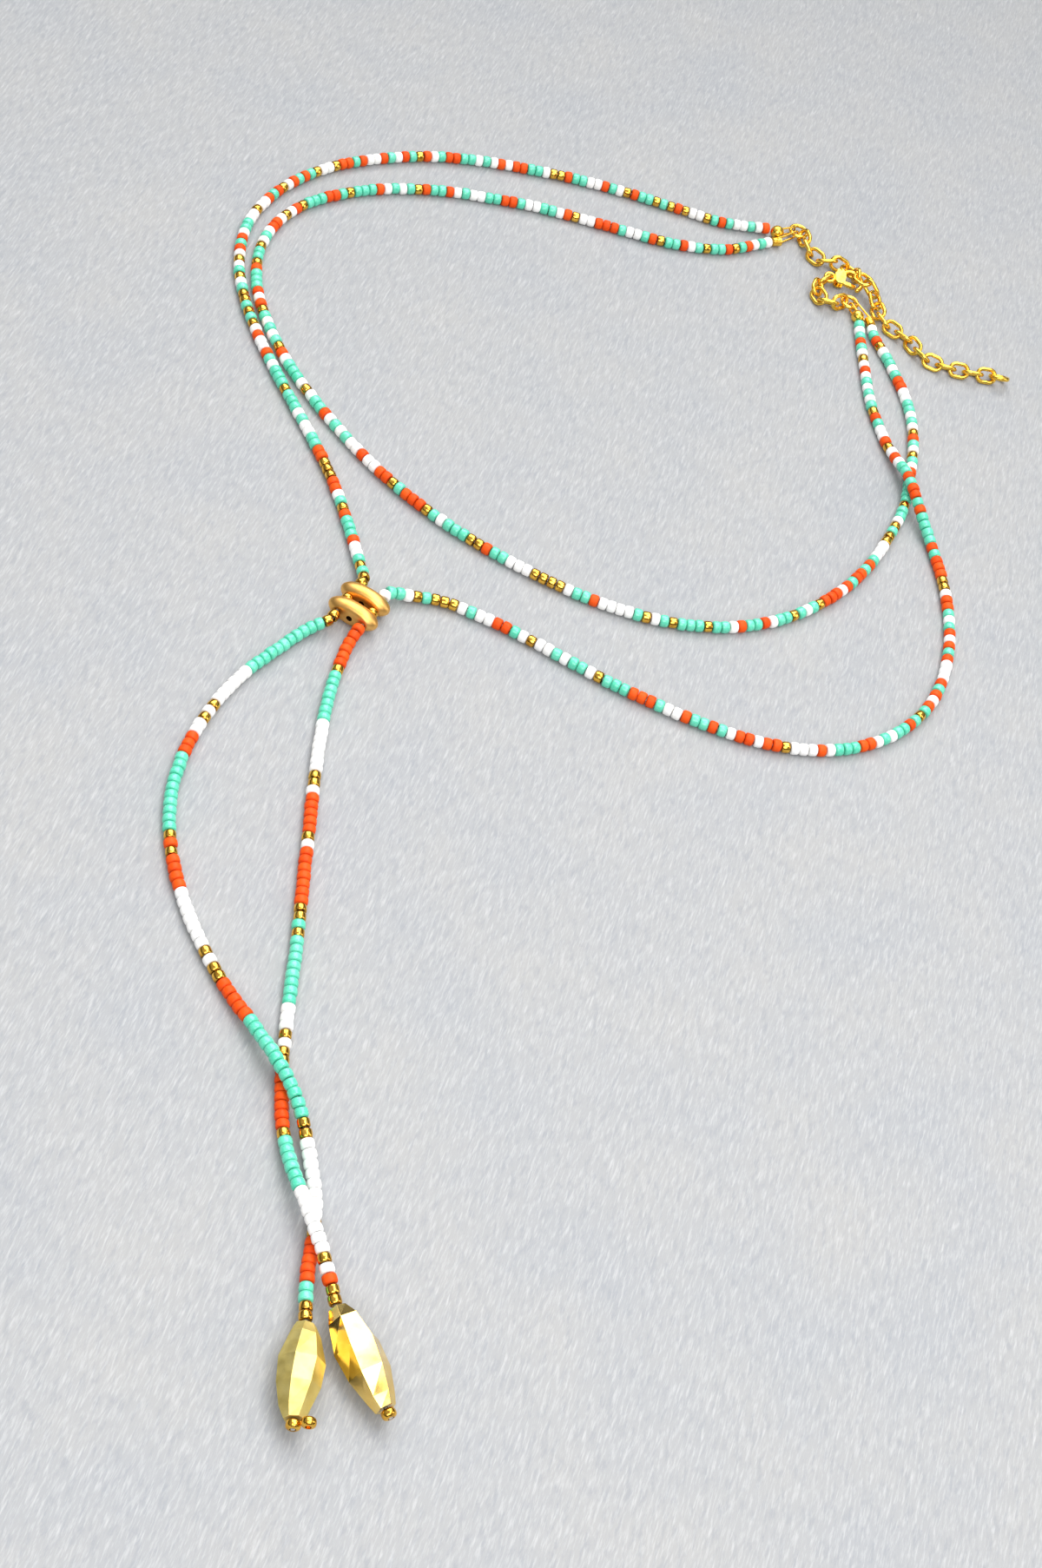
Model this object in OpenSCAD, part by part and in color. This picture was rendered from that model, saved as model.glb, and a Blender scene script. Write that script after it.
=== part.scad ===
// Lariat necklace of seed beads, lying open on a flat surface.
// Two strands run round the neck and a third closes the front to a two-bar spacer.
// Two tails hang from the spacer, cross twice and end in faceted nugget drops.
// X runs across the neck, +Y points to the clasp, the drops lie at -Y, Z is up.

/* [Beads] */
// Diameter of a seed bead, and of each strand
bead_d = 2.2; // [2:0.05:2.3]
// Length of a gold seed bead along the thread
bead_l = 1.4; // [1.2:0.05:1.45]
// Hole through a gold seed bead
bead_bore = 0.9; // [0.8:0.05:1]
// Diameter of the bead thread
thread_d = 0.6; // [0.4:0.05:0.7]
// Gap left between neighbouring pieces on a thread
fit_gap = 0.1; // [0.08:0.01:0.12]

/* [Spacer bars] */
// Length of a spacer bar from tip to tip
bar_l = 9.6; // [9.2:0.1:10.4]
// Height of a spacer bar
bar_h = 4.4; // [4.2:0.1:4.8]
// Thickness of a spacer bar between its flat faces
bar_t = 3; // [2.9:0.05:3.1]
// Height of a spacer bar at its rounded tips
bar_tip_h = 2.8; // [2.5:0.05:2.85]
// Hole through a spacer bar
bar_bore = 1.1; // [1:0.05:1.2]
// Distance between the three holes of a spacer bar
bar_hole_pitch = 2.5; // [2.4:0.05:2.7]
// Length of the gold bead between the bars
bar_bead_l = 1.1; // [1:0.05:1.2]

/* [Drops] */
// Length of the right nugget drop
drop_l = 16; // [15.5:0.1:16.4]
// Length of the left nugget drop, the shorter one
drop_left_l = 14.2; // [13.8:0.1:14.6]
// Width of a nugget drop
drop_w = 7; // [6.6:0.1:7.4]
// Thickness of a nugget drop
drop_t = 6.2; // [5.8:0.1:6.6]
// Hole through a nugget drop
drop_bore = 1; // [0.8:0.05:1.1]

/* [Strand ends] */
// Diameter of the crimp cover on the left outer strand
ball_left_d = 2.8; // [2.6:0.05:2.9]
// Diameter of the crimp cover on the right outer strand
ball_right_d = 2.6; // [2.4:0.05:2.7]
// Diameter of a plain crimp tube
crimp_d = 1.8; // [1.6:0.05:1.9]
// Length of a plain crimp tube
crimp_l = 1.8; // [1.6:0.05:1.9]
// Wire of the small loops on the crimps
loop_wire = 0.4; // [0.3:0.02:0.44]
// Play of a small loop beyond its ring's wire
loop_play = 0.35; // [0.3:0.01:0.45]
// Width inside a small loop
loop_in_w = 1.2; // [1.15:0.05:1.3]

/* [Rings] */
// Outer diameter of the left jump ring
ring_left_od = 4.3; // [4.2:0.05:4.4]
// Outer diameter of the right jump ring
ring_right_od = 4; // [3.9:0.05:4.1]
// Outer diameter of the ring at the end of the extender
ring_end_od = 4.2; // [4:0.05:4.4]
// Wire of the rings
ring_wire = 0.8; // [0.7:0.02:0.84]

/* [Chain] */
// Wire of a chain link
link_wire = 0.65; // [0.55:0.01:0.68]
// Length inside a chain link
link_in_l = 3.2; // [3.16:0.02:3.3]
// Width inside a chain link
link_in_w = 1.95; // [1.9:0.01:2]

/* [Clasp] */
// Radius of the claw's curve, to the middle of its wire
claw_r = 2.25; // [2.2:0.01:2.3]
// Wire of the claw
claw_wire = 1; // [0.9:0.02:1.04]
// Radius of the clasp's eye, to the middle of its wire
eye_r = 0.95; // [0.92:0.01:0.98]
// Wire of the clasp's eye
eye_wire = 0.84; // [0.8:0.01:0.86]
// Thickness of the clasp's palm
palm_t = 2; // [1.9:0.05:2.1]
// Thickness of the lever
lever_t = 0.8; // [0.7:0.02:0.86]
// Slot beside the lever, on each side
lever_gap = 0.1; // [0.06:0.01:0.14]
// Diameter of the lever's pivot pin
pin_d = 0.6; // [0.5:0.02:0.64]
// Clearance between the pivot pin and the lever, on the radius
pin_fit = 0.05; // [0.03:0.01:0.08]
// Width of the lever's arms
lever_w = 0.7; // [0.6:0.02:0.74]

/* [Hidden] */
fine = 48;
small = 32;
flat_sides = 8;
path_steps = 2;
strand_z = bead_d / 2;

// Middle of the spacer, its turn about Z and the height of its holes
spacer_at = [-24.15, -0.7];
spacer_turn = -10;
bar_z = bar_h / 2;
bar_step = (bar_t + bar_bead_l) / 2 + fit_gap;

// Routes of the strands, chosen by hand; the ends in holes and crimps are worked out below
outer_left_pts = [
    [7.5, 139.5, 1.1], [-2.5, 138, 1.1], [-12.5, 136.5, 1.1], [-22.5, 134.5, 1.1],
    [-32.5, 131.5, 1.1], [-42, 128, 1.1], [-51, 123.5, 1.1], [-59, 117.5, 1.1],
    [-66.5, 110, 1.1], [-72, 101.5, 1.1], [-75.5, 92, 1.1], [-76.4, 82, 1.1],
    [-74.3, 72, 1.1], [-70, 63, 1.1], [-64, 54.5, 1.1], [-57.5, 47, 1.1],
    [-50.5, 39.5, 1.1], [-43.5, 32, 1.1], [-37, 24, 1.1], [-31.5, 16, 1.1],
    [-27.6, 9.5, 1.5]];
inner_pts = [
    [10, 131.5, 1.1], [1, 127, 1.1], [-8.5, 124.8, 1.1], [-18, 123, 1.1],
    [-28, 120.8, 1.1], [-37.5, 117.7, 1.1], [-46.5, 114, 1.1], [-55, 109, 1.1],
    [-62.5, 102.5, 1.1], [-68.5, 94.5, 1.1], [-71.7, 85.5, 1.1], [-71.6, 75.5, 1.1],
    [-68.3, 66, 1.1], [-63, 57.8, 1.1], [-56.5, 50.5, 1.1], [-49, 44, 1.1],
    [-41, 38.3, 1.1], [-32.5, 33.2, 1.1], [-23.5, 29.2, 1.1], [-14, 26.2, 1.1],
    [-4.5, 24.4, 1.1], [5.5, 23.4, 1.1], [15.5, 23.5, 1.1], [25, 25.1, 1.1],
    [34.5, 28.8, 1.1], [42.5, 34.5, 1.1], [49, 41.8, 1.1], [54, 50.3, 1.1],
    [57.5, 59.6, 1.1], [59.5, 69.3, 1.1], [60.5, 79.2, 1.1], [59.7, 89, 1.1],
    [58.2, 98.8, 1.1], [55, 108, 1.1], [49.8, 116.5, 1.1], [44.5, 123.7, 1.1]];
outer_right_pts = [
    [-16.2, 7.4, 1.3], [-11, 9, 1.1], [-1.5, 9, 1.1], [8.5, 7.9, 1.1],
    [18, 6.5, 1.1], [28, 5.7, 1.1], [38, 5.6, 1.1], [47.8, 6.6, 1.1],
    [57.3, 9.6, 1.1], [65.5, 15, 1.1], [71.8, 22.7, 1.1], [75.5, 31.8, 1.1],
    [76.4, 41.7, 1.1], [75.2, 51.5, 1.1], [72.4, 61, 1.1], [68.2, 70, 1.2],
    [64.7, 75.3, 2.4], [61.4, 80.4, 3.6], [58.7, 85.7, 3.2], [56, 90, 1.9],
    [52.5, 95.5, 1.1], [48, 104, 1.1], [44.6, 113.5, 1.1], [41.8, 122, 1.1]];
tail_left_pts = [
    [-30.6, -9.8, 1.3], [-33.4, -16, 1.1], [-36, -22.5, 1.1], [-37.8, -29.3, 1.1],
    [-38.8, -36.2, 1.1], [-39, -43.2, 1.1], [-38.2, -50.2, 1.1], [-36.3, -57, 1.1],
    [-33.4, -63.3, 1.1], [-29.6, -69.2, 1.1], [-25.2, -74.7, 1.1], [-20.3, -79.7, 1.1],
    [-15, -84.3, 1.3], [-9.6, -88.7, 2.4], [-4.4, -93.4, 3.6], [0.6, -98.4, 3.2],
    [4.6, -104, 1.7], [8, -110.2, 1.1], [10.2, -116.8, 1.1], [11.5, -123.4, 2]];
tail_right_pts = [
    [-23, -10.2, 1.4], [-22.6, -17, 1.1], [-21.7, -23.7, 1.1], [-20.3, -30.4, 1.1],
    [-18.7, -37, 1.1], [-16.9, -43.7, 1.1], [-15.1, -50.3, 1.1], [-13.3, -57, 1.1],
    [-11.5, -63.5, 1.1], [-9.7, -70, 1.1], [-8, -76.7, 1.1], [-6.3, -83.3, 1.1],
    [-4.5, -89.9, 1.1], [-2.4, -96.4, 1.1], [0.2, -102.7, 1.4], [3.6, -108.6, 2.6],
    [7.6, -114, 3.7], [11.6, -119.2, 4]];

// Where each drop starts, and the turn of its long axis
drop_left_at = [13.9, -131.3];
drop_left_turn = -76;
drop_right_at = [17.2, -127.1];
drop_right_turn = -45;
// Height of the drops' holes, so that the lowest facet lies on the surface
drop_z = drop_t / 2;

// Crimps and rings at the strand tips, each with the turn towards its ring
ball_left_at = [18.5, 142.9, 1.5];
ball_left_in = [-1, 0.05, 0];
crimp_left_at = [19.1, 140.2, 1.2];
crimp_left_in = [-0.82, -0.57, 0];
ball_right_at = [40, 127.2, 1.4];
ball_right_in = [0.45, -0.9, 0];
crimp_right_at = [42.8, 127.2, 1.2];
crimp_right_in = [0.5, -0.87, 0];
ring_left_at = [22.6, 146.3, 1.3];
ring_right_at = [37.5, 130.7, 1.3];
ring_end_at = [71.2, 126.2, 1.5];
ring_end_turn = 18;
ring_end_roll = -35;
// Angle round its ring at which each loop holds the ring
ball_left_hold = 205;
crimp_left_hold = 250;
ball_right_hold = -62;
crimp_right_hold = -14;

// Points where one link of the extender holds the next, and the roll of each link
extender_hooks = [
    [23.5, 145.8, 1.5], [24.9, 143.3, 1.6], [26.5, 140.9, 1.4], [29, 139.6, 1.5],
    [31.5, 140.2, 2.2], [34.3, 140.6, 1.3], [36.6, 139.6, 1.3], [37.3, 137.5, 3.1],
    [39.6, 135.8, 3.6], [41.7, 134.8, 2.3], [42.9, 132.6, 1.5], [44.3, 130.2, 1.4],
    [46.3, 128.2, 1.4], [48.9, 127.2, 1.4], [51.5, 126.3, 1.4], [53.6, 124.3, 1.4],
    [56, 122.8, 1.4], [58.8, 122.6, 1.4], [61.6, 123.1, 1.4], [64.4, 123.9, 1.4],
    [67.2, 124.8, 1.4], [70, 125.8, 1.4]];
extender_rolls = [
    60, -50, 50, -40, 65, -5, 90, 10, 95, -20,
    50, -45, 45, -45, 45, -45, 45, -45, 45, -45, 45];
// The same for the short chain from the clasp's eye to the right jump ring
connector_hooks = [
    [31.8, 134.8, 1.8], [30.4, 132.3, 1.6], [30.3, 129.6, 1.5], [32.1, 127.6, 1.5],
    [34.7, 128.1, 1.6], [36.5, 130.4, 1.5]];
connector_rolls = [75, -40, 45, -45, 60];

// Middle of the clasp's eye, and the turn, tilt and roll of the clasp
clasp_at = [32, 135.2, 1.8];
clasp_turn = 17;
clasp_roll = 15;
claw_x = 4.6;
claw_from = 140;
claw_to = -55;
pivot_at = [2.1, -0.6];
gate_tip = [5.1, -1.28];
nub_tip = [1.85, 2];
palm_in = 0.9;
palm_out = 3.1;
palm_low = 1.45;
palm_high = 1.75;
eye_web = 1.05;
claw_start = [claw_x + claw_r * cos(claw_from), claw_r * sin(claw_from)];

function unit(v) = v / norm(v);
function turned(a) = [cos(a), sin(a), 0];
function two_digits(n) = str(n < 10 ? "0" : "", n);
function numbered(name, n) = [for (i = [1:n]) str(name, two_digits(i))];

extender_names = numbered("extender_link_", len(extender_rolls));
connector_names = numbered("connector_link_", len(connector_rolls));

// Points of a smooth curve through a list of points
function smooth_point(a, b, c, d, t) =
    (2 * b + (c - a) * t + (2 * a - 5 * b + 4 * c - d) * t * t
    + (3 * b - a - 3 * c + d) * t * t * t) / 2;
function laid(p) = [p[0], p[1], max(p[2], strand_z)];
function padded(pts) =
    concat([2 * pts[0] - pts[1]], pts, [2 * pts[len(pts) - 1] - pts[len(pts) - 2]]);
function smooth_path(pts, steps) =
    let (p = padded(pts))
    concat(
        [for (i = [1:len(p) - 3], k = [0:steps - 1])
            laid(smooth_point(p[i - 1], p[i], p[i + 1], p[i + 2], k / steps))],
        [pts[len(pts) - 1]]);

// Direction of a path at one of its points, and one ring of a tube about it
function heading(path, i) =
    unit(path[min(i + 1, len(path) - 1)] - path[max(i - 1, 0)]);
function tube_ring(path, i, r, sides) =
    let (t = heading(path, i), s = unit(cross([0, 0, 1], t)), n = cross(t, s))
    [for (k = [0:sides - 1])
        path[i] + r * (cos((k + 0.5) * 360 / sides) * s + sin((k + 0.5) * 360 / sides) * n)];

// Tube of flat-sided rings along a path; across is its size over the flats
module tube(path, across, sides) {
    r = across / 2 / cos(180 / sides);
    n = len(path);
    points = [for (i = [0:n - 1]) each tube_ring(path, i, r, sides)];
    walls = [for (i = [0:n - 2], k = [0:sides - 1])
        let (a = i * sides + k, b = i * sides + (k + 1) % sides)
        each [[a, b, b + sides], [a, b + sides, a + sides]]];
    start = [[for (k = [sides - 1:-1:0]) k]];
    end = [[for (k = [0:sides - 1]) (n - 1) * sides + k]];
    polyhedron(points, concat(start, walls, end));
}

// Point in a hole of the spacer: side -1, 0 or 1 along the bar, out from the middle
function spacer_point(side, out) =
    [spacer_at[0], spacer_at[1], bar_z]
    + side * bar_hole_pitch * turned(spacer_turn)
    + out * turned(spacer_turn + 90);
bar_face = bar_step + bar_t / 2;
mouth = 4.6 * fit_gap;
bend = 2.4;
function spacer_end(side, way) =
    [spacer_point(side, way * (bar_face + bend)), spacer_point(side, way * (bar_face + mouth))];
function reversed(v) = [for (i = [len(v) - 1:-1:0]) v[i]];

// Where a strand stops at a crimp, half its length from its middle
function crimp_end(at, way, half) = laid(at + unit(way) * (half + mouth));
// Point on a drop's axis, along from its upper end
function drop_point(at, turn, along) = [at[0], at[1], drop_z] + along * turned(turn);

// One side of a rounded profile
function arc_points(x, y, r, from, to, n) =
    [for (i = [0:n]) [x + r * cos(from + (to - from) * i / n), y + r * sin(from + (to - from) * i / n)]];

module bead(d, l, bore) {
    round_r = l * 0.4;
    rotate_extrude($fn = small)
        polygon(concat(
            [[bore / 2, -l / 2]],
            arc_points(d / 2 - round_r, -l / 2 + round_r, round_r, -90, 0, 6),
            arc_points(d / 2 - round_r, l / 2 - round_r, round_r, 0, 90, 6),
            [[bore / 2, l / 2]]));
}

module along_spacer(side, out) {
    translate(spacer_point(side, out))
        rotate([90, 0, spacer_turn])
            children();
}

module outer_strand_left() {
    start = crimp_end(ball_left_at, ball_left_in, ball_left_d / 2);
    color("mediumturquoise")
        tube(smooth_path(concat([start], outer_left_pts, spacer_end(-1, 1)), path_steps), bead_d, flat_sides);
}

module inner_strand() {
    start = crimp_end(crimp_left_at, crimp_left_in, crimp_l / 2);
    end = crimp_end(crimp_right_at, crimp_right_in, crimp_l / 2);
    color("ivory")
        tube(smooth_path(concat([start], inner_pts, [end]), path_steps), bead_d, flat_sides);
}

module outer_strand_right() {
    end = crimp_end(ball_right_at, ball_right_in, ball_right_d / 2);
    color("mediumturquoise")
        tube(smooth_path(concat(reversed(spacer_end(1, 1)), outer_right_pts, [end]), path_steps),
            bead_d, flat_sides);
}

module tail(side, pts, at, turn) {
    end = drop_point(at, turn, -mouth);
    tube(smooth_path(concat(reversed(spacer_end(side, -1)), pts, [end]), path_steps), bead_d, flat_sides);
}

module tail_left() {
    color("turquoise") tail(-1, tail_left_pts, drop_left_at, drop_left_turn);
}

module tail_right() {
    color("tomato") tail(1, tail_right_pts, drop_right_at, drop_right_turn);
}

// Spacer bar: a spindle along its length, cut flat front and back, with three holes
module spacer_bar() {
    tip_r = bar_tip_h / 2;
    tip_turn = 75;
    sag = bar_h / 2 - tip_r;
    reach = bar_l / 2 - tip_r;
    swell_r = (reach * reach + sag * sag) / 2 / sag;
    swell = atan2(reach, swell_r - sag);
    profile = concat(
        [[0, -bar_l / 2]],
        arc_points(0, -reach, tip_r, -tip_turn, -swell, 4),
        arc_points(bar_h / 2 - swell_r, 0, swell_r, -swell, swell, 24),
        arc_points(0, reach, tip_r, swell, tip_turn, 4),
        [[0, bar_l / 2]]);
    difference() {
        intersection() {
            rotate([0, 90, 0])
                rotate_extrude($fn = fine)
                    polygon(profile);
            cube([2 * bar_l, bar_t, 2 * bar_h], center = true);
        }
        for (side = [-1:1])
            translate([side * bar_hole_pitch, 0, 0])
                rotate([90, 0, 0])
                    cylinder(h = 2 * bar_t, d = bar_bore, center = true, $fn = small);
    }
}

module placed_bar(way) {
    translate(spacer_point(0, way * bar_step))
        rotate([0, 0, spacer_turn])
            spacer_bar();
}

module spacer_bar_front() {
    color("goldenrod") placed_bar(-1);
}

module spacer_bar_rear() {
    color("goldenrod") placed_bar(1);
}

module spacer_bead(side) {
    color("gold") along_spacer(side, 0) bead(bead_d, bar_bead_l, bead_bore);
}

// Thread through both bars and the bead between them
module spacer_thread(side) {
    color("white")
        along_spacer(side, 0)
            cylinder(h = 2 * (bar_face + mouth / 2), d = thread_d, center = true, $fn = small);
}

// Faceted nugget of length l: at each cut its shares of the length, width and thickness, its turn and how far it is dented
nugget_cuts = [
    [0, 0.46, 0.46, -12, 1], [0.12, 0.72, 0.72, -7, 1], [0.4, 1, 1, 0, 0],
    [0.66, 0.94, 0.94, 6, 0.5], [0.89, 0.68, 0.68, 13, 1], [1, 0.46, 0.48, 18, 1]];
nugget_dents = [0, 0.1, 0.03, 0.08, 0, 0.11, 0.05];

module nugget(l, sides, first, shift) {
    n = len(nugget_cuts);
    low = max([for (k = [0:sides - 1]) -sin(first + k * 360 / sides)]);
    points = [for (i = [0:n - 1], k = [0:sides - 1])
        let (cut = nugget_cuts[i], a = first + k * 360 / sides + cut[3],
            r = 1 - cut[4] * nugget_dents[(k + shift * i) % len(nugget_dents)])
        [cut[0] * l, r * cut[1] * drop_w / 2 * cos(a), r * cut[2] * drop_t / 2 * sin(a) / low]];
    walls = [for (i = [0:n - 2], k = [0:sides - 1])
        let (a = i * sides + k, b = i * sides + (k + 1) % sides)
        each [[a, b, b + sides], [a, b + sides, a + sides]]];
    start = [[for (k = [sides - 1:-1:0]) k]];
    end = [[for (k = [0:sides - 1]) (n - 1) * sides + k]];
    difference() {
        polyhedron(points, concat(start, walls, end));
        translate([-1, 0, 0])
            rotate([0, 90, 0])
                cylinder(h = l + 2, d = drop_bore, $fn = small);
    }
}

module on_drop(at, turn, along) {
    translate(drop_point(at, turn, along))
        rotate([0, 0, turn])
            children();
}

module drop_left() {
    color("khaki") on_drop(drop_left_at, drop_left_turn, 0) nugget(drop_left_l, 7, 8, 2);
}

module drop_right() {
    color("gold") on_drop(drop_right_at, drop_right_turn, 0) nugget(drop_l, 6, 0, 3);
}

module drop_thread(at, turn, l) {
    color("white")
        on_drop(at, turn, -fit_gap)
            rotate([0, 90, 0])
                cylinder(h = l + bead_l + 2 * fit_gap, d = thread_d, $fn = small);
}

module end_bead(at, turn, l) {
    color("gold")
        on_drop(at, turn, l + fit_gap + bead_l / 2)
            rotate([0, 90, 0])
                bead(bead_d, bead_l, bead_bore);
}

// Second stopper bead, drawn up beside the first by the knotted thread
module end_bead_left_side() {
    rise = 38;
    color("gold")
        on_drop(drop_left_at, drop_left_turn, drop_left_l + fit_gap + bead_l / 2)
            translate((bead_d + 1.5 * fit_gap) * [0, cos(rise), sin(rise)])
                rotate([0, 90, 0])
                    bead(bead_d, bead_l, bead_bore);
}

// Small wire loop from a crimp's middle round a ring's wire, standing on edge
module ring_loop(at, ring_at, ring_od, hold) {
    ring_r = (ring_od - ring_wire) / 2;
    way = ring_at + ring_r * turned(hold) - at;
    reach = norm(way) + ring_wire / 2 + loop_play + loop_wire;
    r = (loop_in_w + loop_wire) / 2;
    straight = reach - loop_wire / 2 - r;
    translate(at)
        rotate([90, -asin(way[2] / norm(way)), atan2(way[1], way[0])]) {
            for (side = [-1, 1])
                translate([0, side * r, 0])
                    rotate([0, 90, 0])
                        cylinder(h = straight, d = loop_wire, $fn = small);
            translate([straight, 0, 0])
                rotate([0, 0, -90])
                    rotate_extrude(angle = 180, $fn = small)
                        translate([r, 0])
                            circle(d = loop_wire, $fn = small);
        }
}

module ball_cover(at, d, ring_at, ring_od, hold) {
    color("gold")
        union() {
            translate(at) sphere(d = d, $fn = fine);
            ring_loop(at, ring_at, ring_od, hold);
        }
}

module crimp(at, in, ring_at, ring_od, hold) {
    color("gold")
        union() {
            translate(at)
                rotate([0, 90, atan2(in[1], in[0])])
                    cylinder(h = crimp_l, d = crimp_d, center = true, $fn = small);
            ring_loop(at, ring_at, ring_od, hold);
        }
}

module ring(od) {
    rotate_extrude($fn = fine)
        translate([(od - ring_wire) / 2, 0])
            circle(d = ring_wire, $fn = small);
}

module jump_ring_left() {
    color("gold") translate(ring_left_at) ring(ring_left_od);
}

module jump_ring_right() {
    color("gold") translate(ring_right_at) ring(ring_right_od);
}

module end_ring() {
    color("gold") translate(ring_end_at) rotate([ring_end_roll, 0, ring_end_turn]) ring(ring_end_od);
}

// Chain link: two half rings joined by straight wires
module link() {
    r = (link_in_w + link_wire) / 2;
    half = (link_in_l + link_wire) / 2 - r;
    for (side = [-1, 1]) {
        translate([side * half, 0, 0])
            rotate([0, 0, side * 90 - 180])
                rotate_extrude(angle = 180, $fn = small)
                    translate([r, 0])
                        circle(d = link_wire, $fn = small);
        translate([-half, side * r, 0])
            rotate([0, 90, 0])
                cylinder(h = 2 * half, d = link_wire, $fn = small);
    }
}

// Link between two of a chain's hooking points
module chain_link(hooks, rolls, i) {
    way = hooks[i + 1] - hooks[i];
    color("gold")
        translate((hooks[i] + hooks[i + 1]) / 2)
            rotate([rolls[i], -asin(way[2] / norm(way)), atan2(way[1], way[0])])
                link();
}

module in_clasp() {
    translate(clasp_at)
        rotate([clasp_roll, 0, clasp_turn])
            children();
}

// Outline of an arm with round ends
module arm(from, to, w) {
    way = to - from;
    translate(from)
        rotate(atan2(way[1], way[0])) {
            translate([0, -w / 2]) square([norm(way), w]);
            circle(d = w, $fn = small);
            translate([norm(way), 0]) circle(d = w, $fn = small);
        }
}

module palm_outline() {
    polygon([[palm_in, -eye_wire], [pivot_at[0] - pin_d, -palm_low], [pivot_at[0] + pin_d, -palm_low],
        [palm_out, 0], [palm_out, palm_high * 0.7], [palm_out - 0.5, palm_high],
        [pivot_at[0] - pin_d, palm_high * 0.75], [palm_in, eye_wire]]);
}

// Room for the lever between the palm's cheeks, closed at the eye and at the claw's root
module slot_outline() {
    difference() {
        translate([eye_web, -2 * palm_high]) square([palm_out, 4 * palm_high]);
        translate(claw_start) circle(d = claw_wire, $fn = small);
    }
}

module clasp_body() {
    slot_t = lever_t + 2 * lever_gap;
    tip_d = claw_wire * 1.06;
    color("gold")
        in_clasp() {
            rotate_extrude($fn = fine)
                translate([eye_r, 0])
                    circle(d = eye_wire, $fn = small);
            difference() {
                translate([0, 0, -palm_t / 2]) linear_extrude(palm_t) palm_outline();
                translate([0, 0, -slot_t / 2]) linear_extrude(slot_t) slot_outline();
            }
            translate([claw_x, 0, 0])
                rotate([0, 0, claw_to])
                    rotate_extrude(angle = claw_from - claw_to, $fn = fine)
                        translate([claw_r, 0])
                            circle(d = claw_wire, $fn = small);
            translate([claw_x + claw_r * cos(claw_to), claw_r * sin(claw_to), 0])
                sphere(d = tip_d, $fn = small);
            translate(pivot_at)
                cylinder(h = palm_t - lever_gap, d = pin_d, center = true, $fn = small);
        }
}

module clasp_lever() {
    color("orange")
        in_clasp()
            difference() {
                translate([0, 0, -lever_t / 2])
                    linear_extrude(lever_t) {
                        arm(pivot_at, gate_tip, lever_w);
                        arm(pivot_at, nub_tip, lever_w);
                        translate(pivot_at) circle(d = lever_w * 1.6, $fn = small);
                    }
                translate(pivot_at)
                    cylinder(h = 2 * lever_t, d = pin_d + 2 * pin_fit, center = true, $fn = small);
            }
}

module extender(i) {
    chain_link(extender_hooks, extender_rolls, i);
}

module connector(i) {
    chain_link(connector_hooks, connector_rolls, i);
}

outer_strand_left();
inner_strand();
outer_strand_right();
tail_left();
tail_right();
spacer_bar_front();
spacer_bar_rear();
spacer_bead(-1);  // spacer_bead_left
spacer_bead(1);  // spacer_bead_right
spacer_thread(-1);  // spacer_thread_left
spacer_thread(1);  // spacer_thread_right
drop_left();
drop_right();
drop_thread(drop_left_at, drop_left_turn, drop_left_l);  // drop_thread_left
drop_thread(drop_right_at, drop_right_turn, drop_l);  // drop_thread_right
end_bead(drop_left_at, drop_left_turn, drop_left_l);  // end_bead_left
end_bead_left_side();
end_bead(drop_right_at, drop_right_turn, drop_l);  // end_bead_right
ball_cover(ball_left_at, ball_left_d, ring_left_at, ring_left_od, ball_left_hold);  // ball_cover_left
crimp(crimp_left_at, crimp_left_in, ring_left_at, ring_left_od, crimp_left_hold);  // crimp_left
ball_cover(ball_right_at, ball_right_d, ring_right_at, ring_right_od, ball_right_hold);  // ball_cover_right
crimp(crimp_right_at, crimp_right_in, ring_right_at, ring_right_od, crimp_right_hold);  // crimp_right
jump_ring_left();
jump_ring_right();
clasp_body();
clasp_lever();
for (i = [0:len(extender_names) - 1])
    extender(i);
for (i = [0:len(connector_names) - 1])
    connector(i);
end_ring();
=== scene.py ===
# Lariat of seed beads: strings the beads, dresses the metalwork and sets floor, light and camera.
# Lengths in the dictionaries are millimetres, colours are picked on the 0-255 scale.
import math
import random

import bmesh
import bpy
from mathutils import Matrix, Vector


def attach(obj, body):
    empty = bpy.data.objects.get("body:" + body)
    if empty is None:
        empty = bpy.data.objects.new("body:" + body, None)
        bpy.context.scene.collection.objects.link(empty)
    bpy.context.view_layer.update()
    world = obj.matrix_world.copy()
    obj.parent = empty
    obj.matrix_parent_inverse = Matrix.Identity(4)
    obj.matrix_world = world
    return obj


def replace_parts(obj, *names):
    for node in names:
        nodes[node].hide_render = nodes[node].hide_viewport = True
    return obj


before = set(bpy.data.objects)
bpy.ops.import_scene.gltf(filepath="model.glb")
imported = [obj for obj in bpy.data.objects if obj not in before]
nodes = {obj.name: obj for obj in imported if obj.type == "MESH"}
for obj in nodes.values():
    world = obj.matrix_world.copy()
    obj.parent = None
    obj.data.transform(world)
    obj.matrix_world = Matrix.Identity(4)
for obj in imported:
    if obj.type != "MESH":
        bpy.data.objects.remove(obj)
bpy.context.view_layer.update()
mm = 0.001
print("frame loaded:", len(nodes), "nodes")

# the camera stands where the photograph was taken from, found from the width of the beads
cameraSet = {
    "place": (13, -309.8, 332.2),
    "lookDown": 49.1,       # degrees below the horizon
    "roll": 22.4,           # the camera was held turned, so the floor leans
    "lens": 60.67,
    "sensor": 36,
    "clip": (0.01, 20),     # metres
}


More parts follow.
